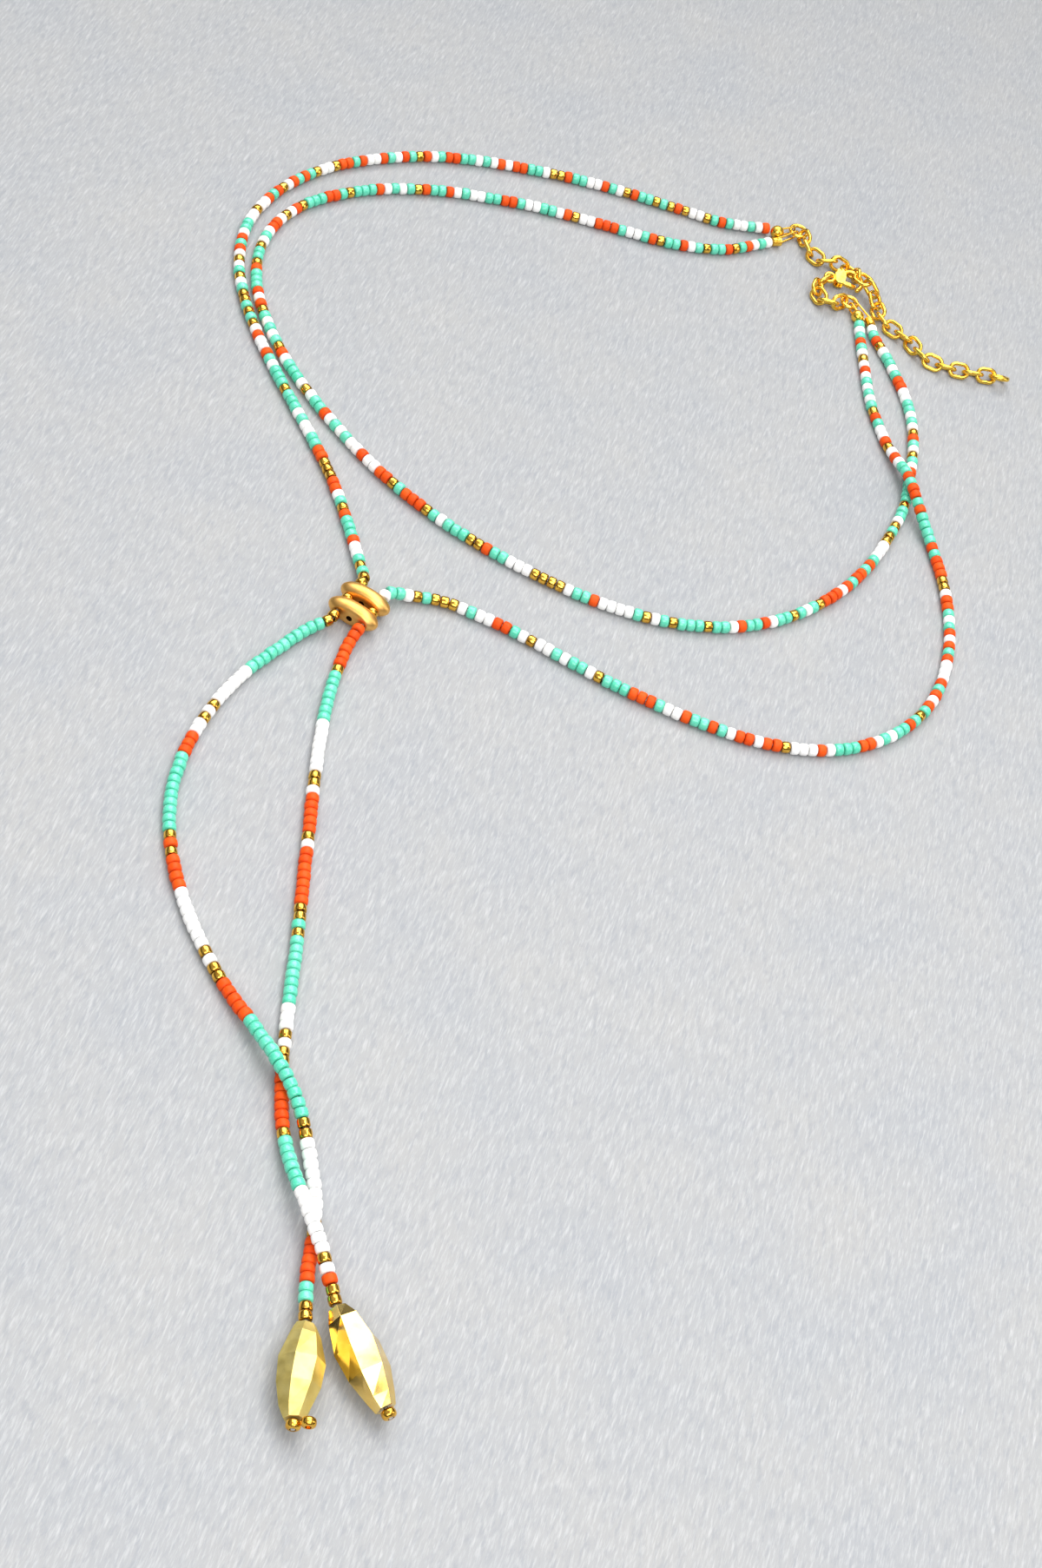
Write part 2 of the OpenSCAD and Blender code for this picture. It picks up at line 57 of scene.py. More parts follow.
def placeCamera(c):
    down, roll = math.radians(c["lookDown"]), math.radians(c["roll"])
    forward = Vector((0, math.cos(down), -math.sin(down)))
    level, upright = Vector((1, 0, 0)), Vector((0, math.sin(down), math.cos(down)))
    right = math.cos(roll) * level + math.sin(roll) * upright
    up = -math.sin(roll) * level + math.cos(roll) * upright
    data = bpy.data.cameras.new("camera")
    data.lens, data.sensor_width, data.sensor_fit = c["lens"], c["sensor"], "AUTO"
    data.clip_start, data.clip_end = c["clip"]
    camera = bpy.data.objects.new("camera", data)
    turn = Matrix((right, up, -forward)).transposed().to_4x4()
    camera.matrix_world = Matrix.Translation(Vector(c["place"]) * mm) @ turn
    bpy.context.scene.collection.objects.link(camera)
    bpy.context.scene.camera = camera


placeCamera(cameraSet)
print("camera placed")

# routes of the strings, their few points as in the part's source
strandRoutes = {
    "outer_strand_left": [
        (16.7, 143.0, 1.5), (7.5, 139.5, 1.1), (-2.5, 138, 1.1), (-12.5, 136.5, 1.1), (-22.5, 134.5, 1.1),
        (-32.5, 131.5, 1.1), (-42, 128, 1.1), (-51, 123.5, 1.1), (-59, 117.5, 1.1), (-66.5, 110, 1.1),
        (-72, 101.5, 1.1), (-75.5, 92, 1.1), (-76.4, 82, 1.1), (-74.3, 72, 1.1), (-70, 63, 1.1),
        (-64, 54.5, 1.1), (-57.5, 47, 1.1), (-50.5, 39.5, 1.1), (-43.5, 32, 1.1), (-37, 24, 1.1),
        (-31.5, 16, 1.1), (-27.6, 9.5, 1.5), (-25.56, 5.69, 2.2), (-25.9, 3.78, 2.2)],
    "inner_strand": [
        (17.99, 139.42, 1.2), (10, 131.5, 1.1), (1, 127, 1.1), (-8.5, 124.8, 1.1), (-18, 123, 1.1),
        (-28, 120.8, 1.1), (-37.5, 117.7, 1.1), (-46.5, 114, 1.1), (-55, 109, 1.1), (-62.5, 102.5, 1.1),
        (-68.5, 94.5, 1.1), (-71.7, 85.5, 1.1), (-71.6, 75.5, 1.1), (-68.3, 66, 1.1), (-63, 57.8, 1.1),
        (-56.5, 50.5, 1.1), (-49, 44, 1.1), (-41, 38.3, 1.1), (-32.5, 33.2, 1.1), (-23.5, 29.2, 1.1),
        (-14, 26.2, 1.1), (-4.5, 24.4, 1.1), (5.5, 23.4, 1.1), (15.5, 23.5, 1.1), (25, 25.1, 1.1),
        (34.5, 28.8, 1.1), (42.5, 34.5, 1.1), (49, 41.8, 1.1), (54, 50.3, 1.1), (57.5, 59.6, 1.1),
        (59.5, 69.3, 1.1), (60.5, 79.2, 1.1), (59.7, 89, 1.1), (58.2, 98.8, 1.1), (55, 108, 1.1),
        (49.8, 116.5, 1.1), (44.5, 123.7, 1.1), (43.47, 126.02, 1.2)],
    "outer_strand_right": [
        (-20.97, 2.91, 2.2), (-20.64, 4.82, 2.2), (-16.2, 7.4, 1.3), (-11, 9, 1.1), (-1.5, 9, 1.1),
        (8.5, 7.9, 1.1), (18, 6.5, 1.1), (28, 5.7, 1.1), (38, 5.6, 1.1), (47.8, 6.6, 1.1),
        (57.3, 9.6, 1.1), (65.5, 15, 1.1), (71.8, 22.7, 1.1), (75.5, 31.8, 1.1), (76.4, 41.7, 1.1),
        (75.2, 51.5, 1.1), (72.4, 61, 1.1), (68.2, 70, 1.2), (64.7, 75.3, 2.4), (61.4, 80.4, 3.6),
        (58.7, 85.7, 3.2), (56, 90, 1.9), (52.5, 95.5, 1.1), (48, 104, 1.1), (44.6, 113.5, 1.1),
        (41.8, 122, 1.1), (40.78, 125.62, 1.4)],
    "tail_left": [
        (-27.33, -4.31, 2.2), (-27.66, -6.22, 2.2), (-30.6, -9.8, 1.3), (-33.4, -16, 1.1), (-36, -22.5, 1.1),
        (-37.8, -29.3, 1.1), (-38.8, -36.2, 1.1), (-39, -43.2, 1.1), (-38.2, -50.2, 1.1), (-36.3, -57, 1.1),
        (-33.4, -63.3, 1.1), (-29.6, -69.2, 1.1), (-25.2, -74.7, 1.1), (-20.3, -79.7, 1.1), (-15, -84.3, 1.3),
        (-9.6, -88.7, 2.4), (-4.4, -93.4, 3.6), (0.6, -98.4, 3.2), (4.6, -104, 1.7), (8, -110.2, 1.1),
        (10.2, -116.8, 1.1), (11.5, -123.4, 2), (13.78, -130.85, 3.1)],
    "tail_right": [
        (-22.4, -5.18, 2.2), (-22.74, -7.09, 2.2), (-23, -10.2, 1.4), (-22.6, -17, 1.1), (-21.7, -23.7, 1.1),
        (-20.3, -30.4, 1.1), (-18.7, -37, 1.1), (-16.9, -43.7, 1.1), (-15.1, -50.3, 1.1), (-13.3, -57, 1.1),
        (-11.5, -63.5, 1.1), (-9.7, -70, 1.1), (-8, -76.7, 1.1), (-6.3, -83.3, 1.1), (-4.5, -89.9, 1.1),
        (-2.4, -96.4, 1.1), (0.2, -102.7, 1.4), (3.6, -108.6, 2.6), (7.6, -114, 3.7), (11.6, -119.2, 4),
        (16.89, -126.77, 3.1)],
}

# stringing charts, counted bead by bead: turquoise, white, red and gold
strandCharts = {
    "outer_strand_left":
        "R1 W1 T1 W2 T1 R1 T1 G1 W2 G1 R1 G1 T1 G1 T2 R1 G1 W1 T1 R1 W2 T2 R1 G2 W1 T2 R2 W1 R1 W1 T1 W1 "
        "T2 R2 T1 W1 R1 G1 T1 R1 W1 T1 R1 W2 R1 T1 R2 G1 W2 G1 T1 R1 T1 R1 W1 G1 R1 T1 R1 W2 G1 W2 T2 W1 "
        "R1 T1 R1 W1 G1 W1 T1 G1 W1 T1 G2 T1 G1 T1 G1 W1 R1 W2 R1 T1 W1 T3 G1 T3 W1 T1 W2 T2 R2 G3 R2 W1 "
        "T1 G1 R1 T3 R1 W2 T1 G1 T1 G2",
    "inner_strand":
        "W1 T1 W1 R1 T1 G1 R1 T2 G1 T1 W1 R1 T2 G1 R1 T1 W2 T1 R3 W2 G1 R1 W1 T2 W2 T1 R2 T2 W2 T1 W1 R1 "
        "T2 R1 G1 T1 W1 T1 W1 R1 T3 G1 T1 R2 T3 G1 R1 W1 G1 W1 R2 W1 T1 W1 G1 T2 G1 R1 T3 R1 W1 R1 G1 T1 "
        "W1 T1 W1 T1 G1 R1 W1 T3 W1 G1 W1 T2 R1 W1 T1 W1 T1 W2 R1 W2 R2 G1 T1 R3 G1 T1 W1 T3 G2 R1 T2 W3 "
        "G4 W1 T2 R1 W4 T1 G1 W1 T1 G1 T3 G1 T2 W1 R1 T2 R1 W1 T2 G1 T1 W1 T1 G1 R3 W1 R1 T1 R2 T1 R1 T1 "
        "W3 G2 T1 G1 W1 T2 G1 T4 G1 R1 W1 T1 G1 W1 T1 R1 G1 W1 T1 W1 T2 W2 R2 T1 W1 T2 W1 G1 R1 T1 W1",
    "outer_strand_right":
        "W1 T2 W1 G1 T1 G3 W1 T1 W2 R2 T1 W1 G1 W2 T1 W1 T2 W1 G1 T3 R3 T1 W2 R1 T2 R1 T1 W1 R2 W1 R2 G1 "
        "W3 R1 W1 T3 R2 W1 T1 W1 T2 R1 T1 G1 T1 R1 W1 R1 T1 R1 W3 R1 T1 R1 W1 R1 T1 W1 T1 R2 W1 G2 R3 T1 "
        "R1 T4 R1 T1 R2 T1 R1 T2 W1 R1 W1 G1 R1 W2 T1 R1 G1 T1 W1 T1 W1 T1 W1 R1 W1 G1 W1 T1 R1 T1 W1 T1",
    "tail_left":
        "G2 T11 W6 G1 W1 G1 W2 R3 T10 G1 R1 G1 R4 W7 G1 W1 G2 R5 T12 G2 W8 G2 R5 T2 G2",
    "tail_right":
        "R6 G1 T7 W7 G2 W1 R5 G1 W1 R7 G2 T1 G1 T8 W3 G1 W1 G2 R7 G1 T6 W7 G1 W1 R1 G2",
}


# the curve runs through all its points, as the source's curve does
def curvePoint(a, b, c, d, t):
    return (2 * b + (c - a) * t + (2 * a - 5 * b + 4 * c - d) * t ** 2 + (3 * b - a - 3 * c + d) * t ** 3) / 2


def strandPath(points, lowest, steps=10):
    p = [Vector(q) for q in points]
    p = [2 * p[0] - p[1]] + p + [2 * p[-1] - p[-2]]
    path = [curvePoint(p[i - 1], p[i], p[i + 1], p[i + 2], k / steps)
            for i in range(1, len(p) - 2) for k in range(steps)]
    path.append(p[-2])
    return [Vector((q.x, q.y, max(q.z, lowest))) for q in path]


def pathLengths(path):
    lengths = [0.0]
    for a, b in zip(path, path[1:]):
        lengths.append(lengths[-1] + (b - a).length)
    return lengths


def pathPlace(path, lengths, s):
    lo, hi = 0, len(lengths) - 2
    while lo < hi:      # halving search for the stretch that holds s
        mid = (lo + hi + 1) // 2
        if lengths[mid] <= s:
            lo = mid
        else:
            hi = mid - 1
    a, b = path[lo], path[lo + 1]
    t = (s - lengths[lo]) / max(lengths[lo + 1] - lengths[lo], 1e-9)
    before, after = path[max(lo - 2, 0)], path[min(lo + 3, len(path) - 1)]
    return a.lerp(b, t), (after - before).normalized()


# a colour picked on the 0-255 scale, made linear
def tint(r, g, b):
    channel = lambda v: v / 255 / 12.92 if v < 11 else ((v / 255 + 0.055) / 1.055) ** 2.4
    return channel(r), channel(g), channel(b), 1


shaderSockets = {
    "colour": "Base Color", "metal": "Metallic", "rough": "Roughness", "surface": "Normal",
    "coat": "Coat Weight", "coatRough": "Coat Roughness", "bend": "IOR", "shine": "Specular IOR Level",
    "sheen": "Sheen Weight",
}


class Finish:
    # one material with its tree, so that each finish below reads as a short list of steps
    def __init__(self, name):
        self.material = bpy.data.materials.new(name)
        self.material.use_nodes = True
        self.tree = self.material.node_tree
        self.tree.nodes.clear()
        self.shader = self.node("ShaderNodeBsdfPrincipled")
        out = self.node("ShaderNodeOutputMaterial")
        self.link(self.shader.outputs["BSDF"], out.inputs["Surface"])
        self.coords = self.node("ShaderNodeTexCoord").outputs["Object"]

    def node(self, kind, **values):
        made = self.tree.nodes.new(kind)
        for key, value in values.items():
            setattr(made, key, value)
        return made

    def link(self, a, b):
        self.tree.links.new(a, b)

    def noise(self, size, detail=3, rough=0.55, stretch=(1, 1, 1), turn=0):
        mapping = self.node("ShaderNodeMapping")
        mapping.inputs["Scale"].default_value = stretch
        mapping.inputs["Rotation"].default_value = (0, 0, math.radians(turn))
        self.link(self.coords, mapping.inputs["Vector"])
        made = self.node("ShaderNodeTexNoise")
        made.inputs["Scale"].default_value = 1 / (size * mm)
        made.inputs["Detail"].default_value = detail
        made.inputs["Roughness"].default_value = rough
        self.link(mapping.outputs["Vector"], made.inputs["Vector"])
        return made.outputs["Fac"]

    def attribute(self, name):
        return self.node("ShaderNodeAttribute", attribute_name=name).outputs["Fac"]

    def between(self, fac, low, high, fromLow=0.35, fromHigh=0.65):
        made = self.node("ShaderNodeMapRange")
        made.inputs["From Min"].default_value, made.inputs["From Max"].default_value = fromLow, fromHigh
        made.inputs["To Min"].default_value, made.inputs["To Max"].default_value = low, high
        self.link(fac, made.inputs["Value"])
        return made.outputs["Result"]

    def colours(self, fac, low, high, fromLow=0.35, fromHigh=0.65):
        ramp = self.node("ShaderNodeValToRGB").color_ramp
        made = self.tree.nodes[-1]
        ramp.elements[0].position, ramp.elements[0].color = fromLow, low
        ramp.elements[1].position, ramp.elements[1].color = fromHigh, high
        self.link(fac, made.inputs["Fac"])
        return made.outputs["Color"]

    def mixed(self, fac, a, b, way="MIX"):
        made = self.node("ShaderNodeMix", data_type="RGBA", blend_type=way)
        for socket, value in ((made.inputs[0], fac), (made.inputs[6], a), (made.inputs[7], b)):
            if isinstance(value, bpy.types.NodeSocket):
                self.link(value, socket)
            else:
                socket.default_value = value
        return made.outputs[2]

    def bump(self, height, depth, strength=1.0, under=None):
        made = self.node("ShaderNodeBump")
        made.inputs["Strength"].default_value = strength
        made.inputs["Distance"].default_value = depth * mm
        self.link(height, made.inputs["Height"])
        if under is not None:
            self.link(under, made.inputs["Normal"])
        return made.outputs["Normal"]

    def set(self, **values):
        for key, value in values.items():
            socket = self.shader.inputs[shaderSockets[key]]
            if isinstance(value, bpy.types.NodeSocket):
                self.link(value, socket)
            else:
                socket.default_value = value
        return self


glassSkin = {"mottle": 0.5, "cloud": 0.3, "pit": 0.25, "pitDepth": 0.02, "coatRough": 0.12, "bend": 1.5}


# opaque seed bead glaze: each bead a little lighter or darker, with painted shade towards its ends, where it
# meets the next bead
def beadGlaze(name, look):
    f = Finish(name)
    mottle = f.colours(f.noise(glassSkin["mottle"], 4), look["shade"], look["colour"], 0.3, 0.6)
    toned = f.mixed(f.between(f.attribute("beadTone"), 0, look["toneSpread"], 0, 1), mottle, look["pale"])
    # painted shade: near its ends each bead turns to the dark gap colour, standing in for the shade between
    # neighbouring beads
    ends = f.between(f.attribute("beadEnd"), 0, look["endShade"], 0.55, 1)
    f.set(colour=f.mixed(ends, toned, look["gapShade"]))
    f.set(rough=f.between(f.noise(glassSkin["cloud"], 2), look["rough"] - 0.06, look["rough"] + 0.08))
    f.set(surface=f.bump(f.noise(glassSkin["pit"], 2), glassSkin["pitDepth"], 0.35))
    f.set(coat=look["coat"], coatRough=glassSkin["coatRough"], bend=glassSkin["bend"], shine=look["shine"])
    return f.material


# gold plate: satin or polished, with faint waves and rubbed patches, and a painted dark reflection on the
# beads' rims
def goldPlate(name, look):
    f = Finish(name)
    patches = f.colours(f.noise(look["patch"], 3), look["shade"], look["colour"], 0.3, 0.62)
    # painted reflection: the gold beads darken towards their rims, standing in for the dark surroundings they
    # mirror
    if "rim" in look:
        rimReflectionMask = f.between(f.attribute("beadEnd"), 0, look["rimShade"], 0.6, 1)
        patches = f.mixed(rimReflectionMask, patches, look["rim"])
    f.set(colour=patches, metal=1.0)
    f.set(rough=f.between(f.noise(look["patch"] * 0.6, 3), look["rough"] - look["roughSpread"],
                          look["rough"] + look["roughSpread"]))
    waves = f.bump(f.noise(look["waveSize"], 2), look["waveDepth"], 0.6)
    grain = f.noise(look["grainSize"], 3, stretch=look.get("grainWay", (1, 1, 1)))
    f.set(surface=f.bump(grain, look["grainDepth"], 0.4, waves))
    return f.material


# in the seed bead finishes the gap colour, mixed in by the end share, is painted shade between neighbouring
# beads
finishes = {
    "turquoise": beadGlaze("turquoise seed bead", {
        "colour": tint(92, 214, 178), "shade": tint(74, 202, 164), "pale": tint(124, 226, 196),
        "gapShade": tint(30, 142, 116), "toneSpread": 0.45, "endShade": 0.26,
        "rough": 0.24, "shine": 0.5, "coat": 0.4}),
    "white": beadGlaze("white seed bead", {
        "colour": tint(253, 251, 247), "shade": tint(247, 246, 243), "pale": tint(255, 255, 253),
        "gapShade": tint(214, 215, 217), "toneSpread": 0.6, "endShade": 0.22,
        "rough": 0.28, "shine": 0.5, "coat": 0.4}),
    "red": beadGlaze("orange red seed bead", {
        "colour": tint(238, 80, 12), "shade": tint(226, 68, 6), "pale": tint(244, 98, 24),
        "gapShade": tint(150, 30, 2), "toneSpread": 0.5, "endShade": 0.34,
        "rough": 0.5, "shine": 0.2, "coat": 0.0}),
    # the rim colour of the gold beads is a painted dark reflection
    "goldBead": goldPlate("bronze gold seed bead", {
        "colour": tint(252, 200, 84), "shade": tint(206, 146, 52), "rim": tint(92, 54, 14), "rimShade": 0.7,
        "patch": 1.1, "rough": 0.13, "roughSpread": 0.04,
        "waveSize": 0.8, "waveDepth": 0.03, "grainSize": 0.15, "grainDepth": 0.003}),
    "spacerSatin": goldPlate("satin gold of the spacer bars", {
        "colour": tint(240, 188, 108), "shade": tint(228, 170, 86),
        "patch": 2.5, "rough": 0.4, "roughSpread": 0.03,
        "waveSize": 1.6, "waveDepth": 0.01, "grainSize": 0.12, "grainDepth": 0.004}),
    "boreShade": goldPlate("shaded gold in the holes", {
        "colour": tint(96, 62, 26), "shade": tint(60, 36, 14),
        "patch": 0.6, "rough": 0.5, "roughSpread": 0.05,
        "waveSize": 0.5, "waveDepth": 0.01, "grainSize": 0.12, "grainDepth": 0.004}),
    "champagne": goldPlate("brushed pale gold", {
        "colour": tint(236, 218, 140), "shade": tint(220, 198, 112),
        "patch": 2.4, "rough": 0.52, "roughSpread": 0.06, "waveSize": 1.8, "waveDepth": 0.05,
        "grainSize": 0.16, "grainDepth": 0.012, "grainWay": (1, 0.25, 1)}),
    "polished": goldPlate("polished gold", {
        "colour": tint(252, 220, 136), "shade": tint(242, 202, 108),
        "patch": 3.0, "rough": 0.17, "roughSpread": 0.04,
        "waveSize": 3.2, "waveDepth": 0.05, "grainSize": 0.3, "grainDepth": 0.002}),
    "findings": goldPlate("bright gold findings", {
        "colour": tint(255, 214, 94), "shade": tint(240, 184, 60),
        "patch": 1.1, "rough": 0.25, "roughSpread": 0.07,
        "waveSize": 0.8, "waveDepth": 0.02, "grainSize": 0.14, "grainDepth": 0.005}),
}


whiteThread = {
    "shade": tint(150, 148, 140), "colour": tint(226, 224, 216), "blotch": 0.35,
    "rough": (0.6, 0.8), "fluff": 0.4, "fibre": 0.18, "fibreDepth": 0.05, "sheen": 0.3,
}


def threadFinish(look):
    f = Finish("white bead thread")
    f.set(colour=f.colours(f.noise(look["blotch"], 2), look["shade"], look["colour"]))
    f.set(rough=f.between(f.noise(look["fluff"], 2), *look["rough"]))
    f.set(surface=f.bump(f.noise(look["fibre"], 2), look["fibreDepth"], 0.6), sheen=look["sheen"])
    return f.material


finishes["thread"] = threadFinish(whiteThread)
print("finishes made:", len(finishes))


# seed beads: short round tubes, no two quite alike
seedBead = {
    "across": 2.2,
    "bore": 0.9,
    "fill": 0.99,           # bead length as a share of its place on the thread
    "sides": 26,
    "outlinePoints": 11,
    "squareness": 3.5,      # 2 is a round ring, more is closer to a short tube
    "spread": 0.035,        # how much wider or narrower a bead may be
    "lean": 4.5,            # degrees a bead may lean on the thread
    "stray": 0.07,          # how far a bead may sit to one side of the thread
    "goldSize": 0.94,
    "goldCorners": 0.1,     # share of a six-cornered outline in the gold beads
    "shortest": 0.965,      # the shortest bead as a share of the longest
    "floor": 0.005,         # no bead goes lower
    "seed": 20,             # the first string's seed, the next ones follow
}
beadColours = {"T": 0, "W": 1, "R": 2, "G": 3}      # each letter's place in the four finishes


# half a slice through one bead: distance from the thread, place along it, nearness to the ends
def beadOutline(length, across):
    half, tube = length / 2, (across - seedBead["bore"]) / 2
    outline = []
    n, power = seedBead["outlinePoints"], 2 / seedBead["squareness"]
    for k in range(n):
        a = math.pi * (k / (n - 1) - 0.5)
        z = half * math.copysign(abs(math.sin(a)) ** power, a)
        r = seedBead["bore"] / 2 + tube * max(math.cos(a), 0) ** power
        outline.append((r, z, abs(z) / half))
    return outline


def sixCorners(angle):
    a = (angle + math.pi / 6) % (math.pi / 3) - math.pi / 6
    return math.cos(math.pi / 6) / math.cos(a)


def chartBeads(chart):
    return [run[0] for run in chart.split() for k in range(int(run[1:]))]


def addPiece(name, mesh):
    piece = bpy.data.objects.new(name, mesh)
    bpy.context.scene.collection.objects.link(piece)
    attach(piece, "necklace")
    return piece


def stringBeads(name, chart, seed):
    dice = random.Random(seed)
    path = strandPath(strandRoutes[name], seedBead["across"] / 2)
    lengths = pathLengths(path)
    beads = chartBeads(chart)
    pitch = lengths[-1] / len(beads)
    verts, faces, kinds, tones, ends = [], [], [], [], []
    sides = seedBead["sides"]
    for i, kind in enumerate(beads):
        centre, way = pathPlace(path, lengths, (i + 0.5) * pitch)
        across = seedBead["across"] * dice.uniform(1 - seedBead["spread"], 1 + seedBead["spread"])
        if kind == "G":
            across *= seedBead["goldSize"]
        outline = beadOutline(pitch * seedBead["fill"] * dice.uniform(seedBead["shortest"], 1), across)
        lean = math.radians(seedBead["lean"])
        turn = way.to_track_quat("Z", "Y").to_matrix()
        turn = turn @ Matrix.Rotation(dice.uniform(-lean, lean), 3, "X")
        turn = turn @ Matrix.Rotation(dice.uniform(-lean, lean), 3, "Y")
        stray, side = dice.uniform(0, seedBead["stray"]), dice.uniform(0, 2 * math.pi)
        centre = centre + turn @ Vector((stray * math.cos(side), stray * math.sin(side), 0))
        start, spin, tone = len(verts), dice.uniform(0, math.pi), dice.random()
        for r, z, end in outline:
            for k in range(sides):
                a = 2 * math.pi * k / sides + spin
                rim = r
                if kind == "G":
                    corners = seedBead["goldCorners"] * (1 - end)
                    rim = r * (1 + corners * (sixCorners(a) - 1))
                q = turn @ Vector((rim * math.cos(a), rim * math.sin(a), z)) + centre
                verts.append((q.x * mm, q.y * mm, max(q.z, seedBead["floor"]) * mm))
                ends.append(end)
        rings = len(outline)
        for j in range(rings):
            low, high = start + j * sides, start + (j + 1) % rings * sides
            for k in range(sides):
                m = (k + 1) % sides
                faces.append((low + k, low + m, high + m, high + k))
                kinds.append(beadColours[kind])
                tones.append(tone)
    mesh = bpy.data.meshes.new("beads " + name)
    mesh.from_pydata(verts, [], faces)
    mesh.polygons.foreach_set("material_index", kinds)
    mesh.polygons.foreach_set("use_smooth", [True] * len(faces))
    mesh.attributes.new("beadTone", "FLOAT", "FACE").data.foreach_set("value", tones)
    mesh.attributes.new("beadEnd", "FLOAT", "POINT").data.foreach_set("value", ends)
    for key in ("turquoise", "white", "red", "goldBead"):
        mesh.materials.append(finishes[key])
    mesh.update()
    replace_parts(addPiece("beads_" + name, mesh), name)
    print("strung", name, len(beads), "beads, pitch %.3f mm" % pitch)


for number, name in enumerate(strandRoutes):
    stringBeads(name, strandCharts[name], seedBead["seed"] + number)

# twisted thread, seen between the beads
beadThread = {"across": 0.62, "sides": 10, "plies": 3, "plyDepth": 0.1, "twist": 1.4, "steps": 20}


def layThread(name):
    path = strandPath(strandRoutes[name], seedBead["across"] / 2, beadThread["steps"])
    verts, faces, sides = [], [], beadThread["sides"]
    along = pathLengths(path)
    for i, p in enumerate(path):
        way = (path[min(i + 1, len(path) - 1)] - path[max(i - 1, 0)]).normalized()
        side = Vector((0, 0, 1)).cross(way).normalized()
        up = way.cross(side)
        for k in range(sides):
            a = 2 * math.pi * k / sides
            twisted = a - 2 * math.pi * along[i] / beadThread["twist"]
            ply = 1 + beadThread["plyDepth"] * math.cos(beadThread["plies"] * twisted)
            r = beadThread["across"] / 2 * ply
            q = p + r * (math.cos(a) * side + math.sin(a) * up)
            verts.append(tuple(q * mm))
    for i in range(len(path) - 1):
        for k in range(sides):
            m = (k + 1) % sides
            faces.append((i * sides + k, i * sides + m, (i + 1) * sides + m, (i + 1) * sides + k))
    faces.append(tuple(range(sides))[::-1])
    faces.append(tuple((len(path) - 1) * sides + k for k in range(sides)))
    return verts, faces


def threadPiece():
    verts, faces = [], []
    for name in strandRoutes:
        v, f = layThread(name)
        faces += [tuple(k + len(verts) for k in face) for face in f]
        verts += v
    mesh = bpy.data.meshes.new("bead thread")
    mesh.from_pydata(verts, [], faces)
    mesh.polygons.foreach_set("use_smooth", [True] * len(faces))
    mesh.materials.append(finishes["thread"])
    addPiece("bead_thread", mesh)


threadPiece()
print("thread laid")

# finishes of the nodes that stay as they are, findings gold for all the others
nodeFinishes = {
    "spacer_bead_left": "goldBead", "spacer_bead_right": "goldBead",
    "end_bead_left": "goldBead", "end_bead_left_side": "goldBead", "end_bead_right": "goldBead",
    "spacer_thread_left": "thread", "spacer_thread_right": "thread",
    "drop_thread_left": "thread", "drop_thread_right": "thread",
    "spacer_bar_front": "spacerSatin", "spacer_bar_rear": "spacerSatin",
    "drop_left": "champagne", "drop_right": "polished",
}


def dressNodes():
    for name, thing in nodes.items():
        finish = finishes[nodeFinishes.get(name, "findings")]
        for place in thing.material_slots:
            place.material = finish


# puts a reworked surface in the place of its node
def worn(name, mesh):
    mesh.polygons.foreach_set("use_smooth", [True] * len(mesh.polygons))
    mesh.materials.append(finishes[nodeFinishes.get(name, "findings")])
    piece = addPiece(name + "_soft", mesh)
    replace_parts(piece, name)
    return piece


# a node's surface to work on, its doubled points joined
def looseCopy(name, joined=0.002):
    work = bmesh.new()
    work.from_mesh(nodes[name].data)
    bmesh.ops.remove_doubles(work, verts=work.verts, dist=joined * mm)
    return work


# the node's own shape with worn, rounded edges
def softened(name, look):
    work = looseCopy(name)
    flat = math.radians(look["flat"])
    bmesh.ops.dissolve_limit(work, angle_limit=flat, verts=work.verts, edges=work.edges)
    sharp = [e for e in work.edges if len(e.link_faces) == 2 and e.calc_length() > look["shortest"] * mm
             and math.degrees(e.calc_face_angle(0)) > look["from"]]
    bmesh.ops.bevel(work, geom=sharp, offset=look["round"] * mm, offset_type="OFFSET", affect="EDGES",
                    segments=look["steps"], profile=look["profile"], clamp_overlap=True)
    bmesh.ops.triangulate(work, faces=[f for f in work.faces if len(f.verts) > 4])
    mesh = bpy.data.meshes.new(name + " softened")
    work.to_mesh(mesh)
    work.free()
    piece = worn(name, mesh)
    weighted = piece.modifiers.new("flat faces stay flat", "WEIGHTED_NORMAL")
    weighted.keep_sharp = True
    return piece


# drawn wire looks a shade fuller than its bare size once it is plated
def platedWire(name, look):
    work = looseCopy(name)
    work.normal_update()
    for v in work.verts:
        v.co += v.normal * look["plate"] * mm
        v.co.z = max(v.co.z, look["lowest"] * mm)
    mesh = bpy.data.meshes.new(name + " plated")
    work.to_mesh(mesh)
    work.free()
    return worn(name, mesh)


# spacer bars: spindles with soft flat sides and three holes each
spacerBar = {
    "middle": (-24.15, -0.7, 2.2),
    "turn": -10,            # degrees about the upright
    "step": 2.15,           # from the middle to each bar
    "long": 9.6, "high": 4.4, "thick": 3,
    "inside": 0.995,        # a hair smaller than the solid
    "squareness": 3.0,
    "stations": 60, "around": 64,
    "bore": 1.1, "pitch": 2.5, "boreSides": 32,
    "sharpFrom": 38,        # degrees between faces where an edge stays sharp
    "slot": "spacer_metal",
}


